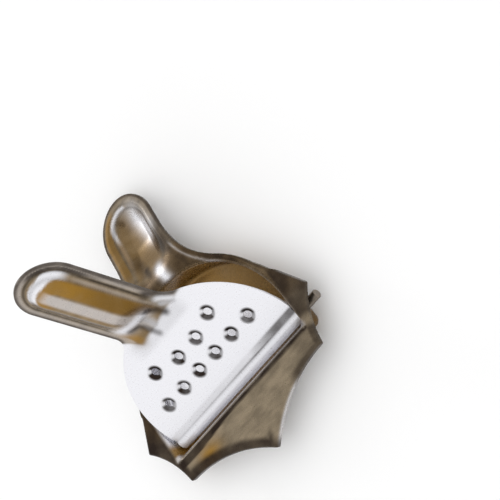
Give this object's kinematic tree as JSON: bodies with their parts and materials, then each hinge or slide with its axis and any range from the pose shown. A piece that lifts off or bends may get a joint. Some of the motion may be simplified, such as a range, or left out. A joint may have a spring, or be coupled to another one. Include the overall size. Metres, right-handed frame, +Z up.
{
  "type": "hinged lemon squeezer",
  "caption": "Hinged hand squeezer for a lemon wedge: a perforated press plate swings into a D-shaped dish, with two troughed finger handles and a pointed drip apron past the hinge.",
  "frame": {"origin": "middle of the dish's half circle, on the flat underside of the dish floor", "axes": "+X along the hinge pin towards its plain end, +Y from the hinge to the finger handles, +Z up out of the dish"},
  "size_m": [0.0836, 0.0995, 0.0668],
  "materials": {
    "press_half_steel": "satin plate, polished handle",
    "dish_half_steel": "polished",
    "hinge_pin_steel": "drawn wire"
  },
  "bodies": {
    "dish": {"dish_half": "dish_half_steel", "hinge_pin": "hinge_pin_steel"},
    "press": {"press_half": "press_half_steel"}
  },
  "joints": [
    {"name": "squeeze_hinge", "type": "hinge", "parent": "dish", "child": "press", "pos_m": [0, -0.0046, 0.00545], "axis": [1, 0, 0], "range_deg": [-28, 58]}
  ]
}
